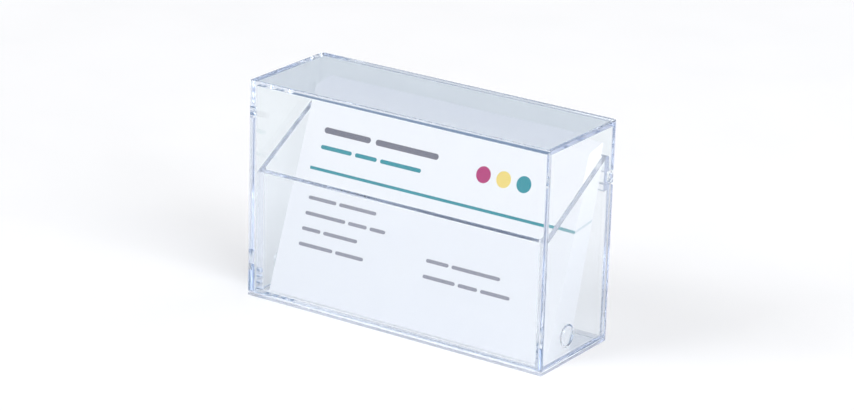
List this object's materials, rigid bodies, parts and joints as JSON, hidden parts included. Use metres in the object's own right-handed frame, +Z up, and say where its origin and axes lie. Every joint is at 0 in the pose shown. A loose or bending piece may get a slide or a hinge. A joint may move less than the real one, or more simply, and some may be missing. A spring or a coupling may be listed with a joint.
{
  "type": "business card box",
  "caption": "Clear upright card box: an open tray with raked sides under a full-height hood hinged at the back, holding a leaning pack of business cards.",
  "frame": {"origin": "centre of the box's footprint, on the surface that it stands on", "axes": "+X along the width, to the right seen from the front; +Y from the front to the hinge at the back; +Z up"},
  "size_m": [0.093, 0.0322, 0.0604],
  "materials": {
    "clear_plastic": "clear, polished, faint blue edges",
    "card_stock": "smooth, matte, white"
  },
  "bodies": {
    "base": {"base_tray": "clear_plastic", "card_01": "card_stock", "card_02": "card_stock", "card_03": "card_stock", "card_04": "card_stock", "card_05": "card_stock", "card_06": "card_stock", "card_07": "card_stock", "card_08": "card_stock", "card_09": "card_stock", "card_10": "card_stock", "card_11": "card_stock", "card_12": "card_stock", "card_13": "card_stock", "card_14": "card_stock", "card_15": "card_stock", "card_16": "card_stock", "card_17": "card_stock", "card_18": "card_stock", "card_19": "card_stock", "card_20": "card_stock"},
    "lid": {"hinged_lid": "clear_plastic"}
  },
  "joints": [
    {"name": "lid_hinge", "type": "hinge", "parent": "base", "child": "lid", "pos_m": [0, 0.0145, 0.0454], "axis": [-1, 0, 0], "range_deg": [0, 112]}
  ]
}
